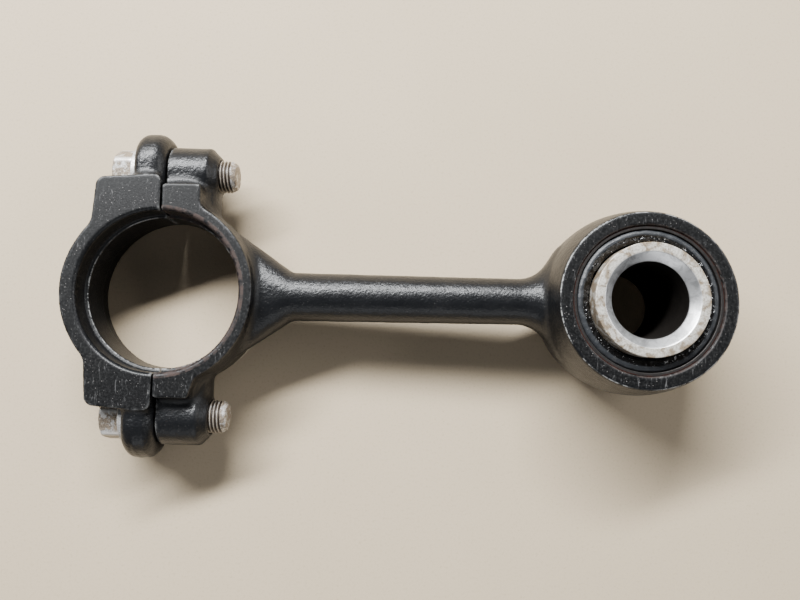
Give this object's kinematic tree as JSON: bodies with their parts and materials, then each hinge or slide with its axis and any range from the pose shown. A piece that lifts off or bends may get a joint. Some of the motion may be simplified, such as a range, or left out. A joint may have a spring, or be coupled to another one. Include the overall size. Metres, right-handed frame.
{
  "type": "rod end with split clamp and rubber bush",
  "caption": "Forged link: a split two-bolt clamp at one end and an eye with a rubber-metal bush and steel inner sleeve at the other.",
  "frame": {"origin": "centre of the clamp bore, on the middle plane of the clamp", "axes": "+X along the link from the clamp to the eye, +Y towards the upper bolt, +Z along both bores"},
  "size_m": [0.2801, 0.1396, 0.056],
  "materials": {
    "black_paint": "gloss",
    "zinc_steel": "satin",
    "dark_steel": "satin",
    "bush_rubber": "satin",
    "sleeve_steel": "satin"
  },
  "bodies": {
    "link": {"link_rod": "black_paint", "bush_outer_sleeve": "dark_steel"},
    "cap": {"clamp_cap": "black_paint"},
    "upper_washer": {"upper_washer": "zinc_steel"},
    "upper_bolt": {"upper_bolt": "zinc_steel"},
    "lower_washer": {"lower_washer": "zinc_steel"},
    "lower_bolt": {"lower_bolt": "zinc_steel"},
    "rubber": {"bush_rubber": "bush_rubber"},
    "inner_sleeve": {"bush_inner_sleeve": "sleeve_steel"}
  },
  "joints": [
    {"name": "cap_slide", "type": "slide", "parent": "link", "child": "cap", "axis": [-1, 0, 0], "range_m": [0, 0.06]},
    {"name": "upper_bolt_travel", "type": "slide", "parent": "cap", "child": "upper_washer", "axis": [-1, 0, 0], "range_m": [0, 0.028]},
    {"name": "upper_bolt_turn", "type": "hinge", "parent": "upper_washer", "child": "upper_bolt", "pos_m": [-0.0153, 0.0522, 0], "axis": [-1, 0, 0], "range_deg": [0, 6730]},
    {"name": "lower_bolt_travel", "type": "slide", "parent": "cap", "child": "lower_washer", "axis": [-1, 0, 0], "range_m": [0, 0.028]},
    {"name": "lower_bolt_turn", "type": "hinge", "parent": "lower_washer", "child": "lower_bolt", "pos_m": [-0.0153, -0.0522, 0], "axis": [-1, 0, 0], "range_deg": [0, 6730]},
    {"name": "bush_tilt", "type": "hinge", "parent": "link", "child": "rubber", "pos_m": [0.2, 0, 0], "axis": [0, 1, 0], "range_deg": [-6, 6], "stiffness_Nm_per_rad": 400, "deforming": ["bush_rubber"]},
    {"name": "bush_twist", "type": "hinge", "parent": "rubber", "child": "inner_sleeve", "pos_m": [0.2, 0, 0], "axis": [0, 0, 1], "range_deg": [-15, 15], "stiffness_Nm_per_rad": 100, "deforming": ["bush_rubber"]}
  ],
  "couplings": [
    {"joint": "upper_bolt_turn", "follows": "upper_bolt_travel", "rad_per_m": 4188.8},
    {"joint": "lower_bolt_turn", "follows": "lower_bolt_travel", "rad_per_m": 4188.8}
  ]
}
